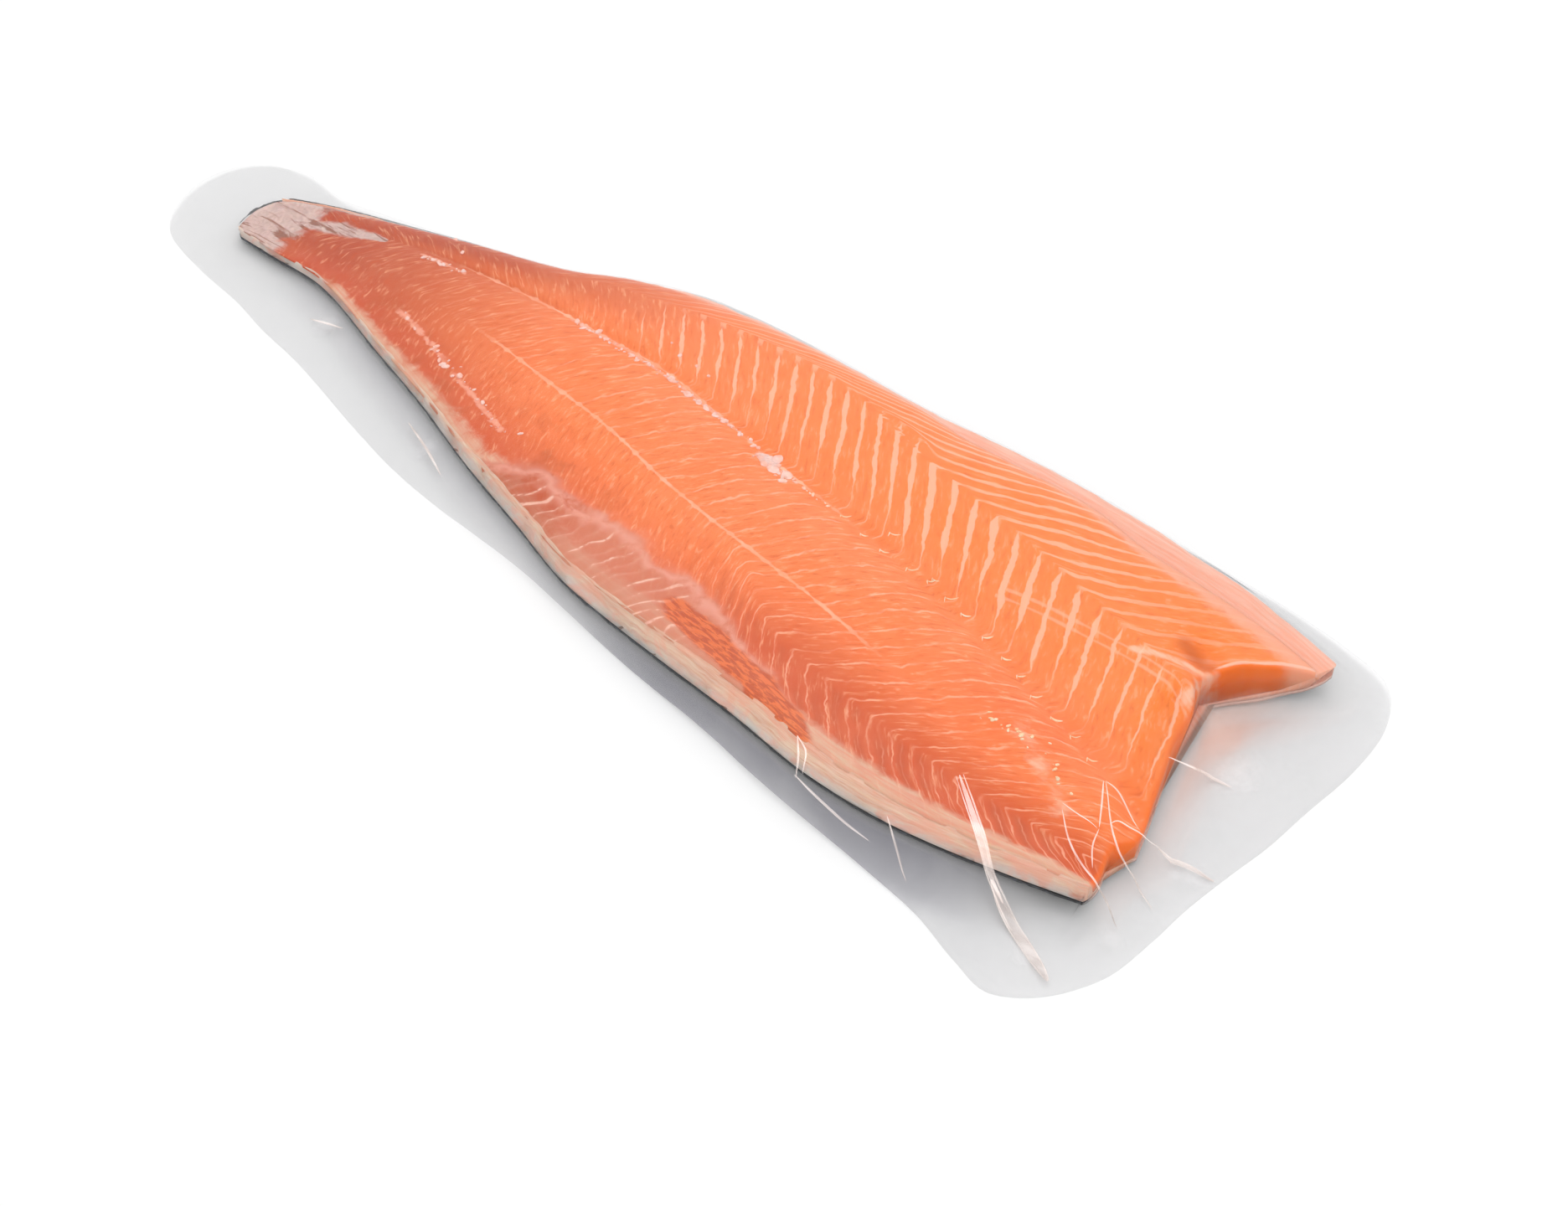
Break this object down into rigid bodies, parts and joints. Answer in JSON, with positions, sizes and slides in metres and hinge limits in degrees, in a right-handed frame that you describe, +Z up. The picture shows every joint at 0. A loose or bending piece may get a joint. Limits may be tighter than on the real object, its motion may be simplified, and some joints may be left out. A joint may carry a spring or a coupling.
{
  "type": "vacuum-packed salmon side",
  "caption": "Whole skin-on side of salmon lying skin down in a clear vacuum pouch, whose film spreads out round it as a wavy, pleated skirt.",
  "frame": {"origin": "middle of the pack's length and width, at the surface it lies on", "axes": "+X from the tail to the head end, +Y from the belly to the back, +Z up through the cut side"},
  "size_m": [0.636, 0.24, 0.0283],
  "materials": {
    "film": "clear glossy film",
    "skin": "wet dark scaly skin",
    "fat": "pale moist fat",
    "flesh": "moist orange flesh with pale fat lines"
  },
  "bodies": {
    "root": {"pouch": "film", "skin": "skin", "fat_layer": "fat", "flesh": "flesh"}
  },
  "joints": []
}
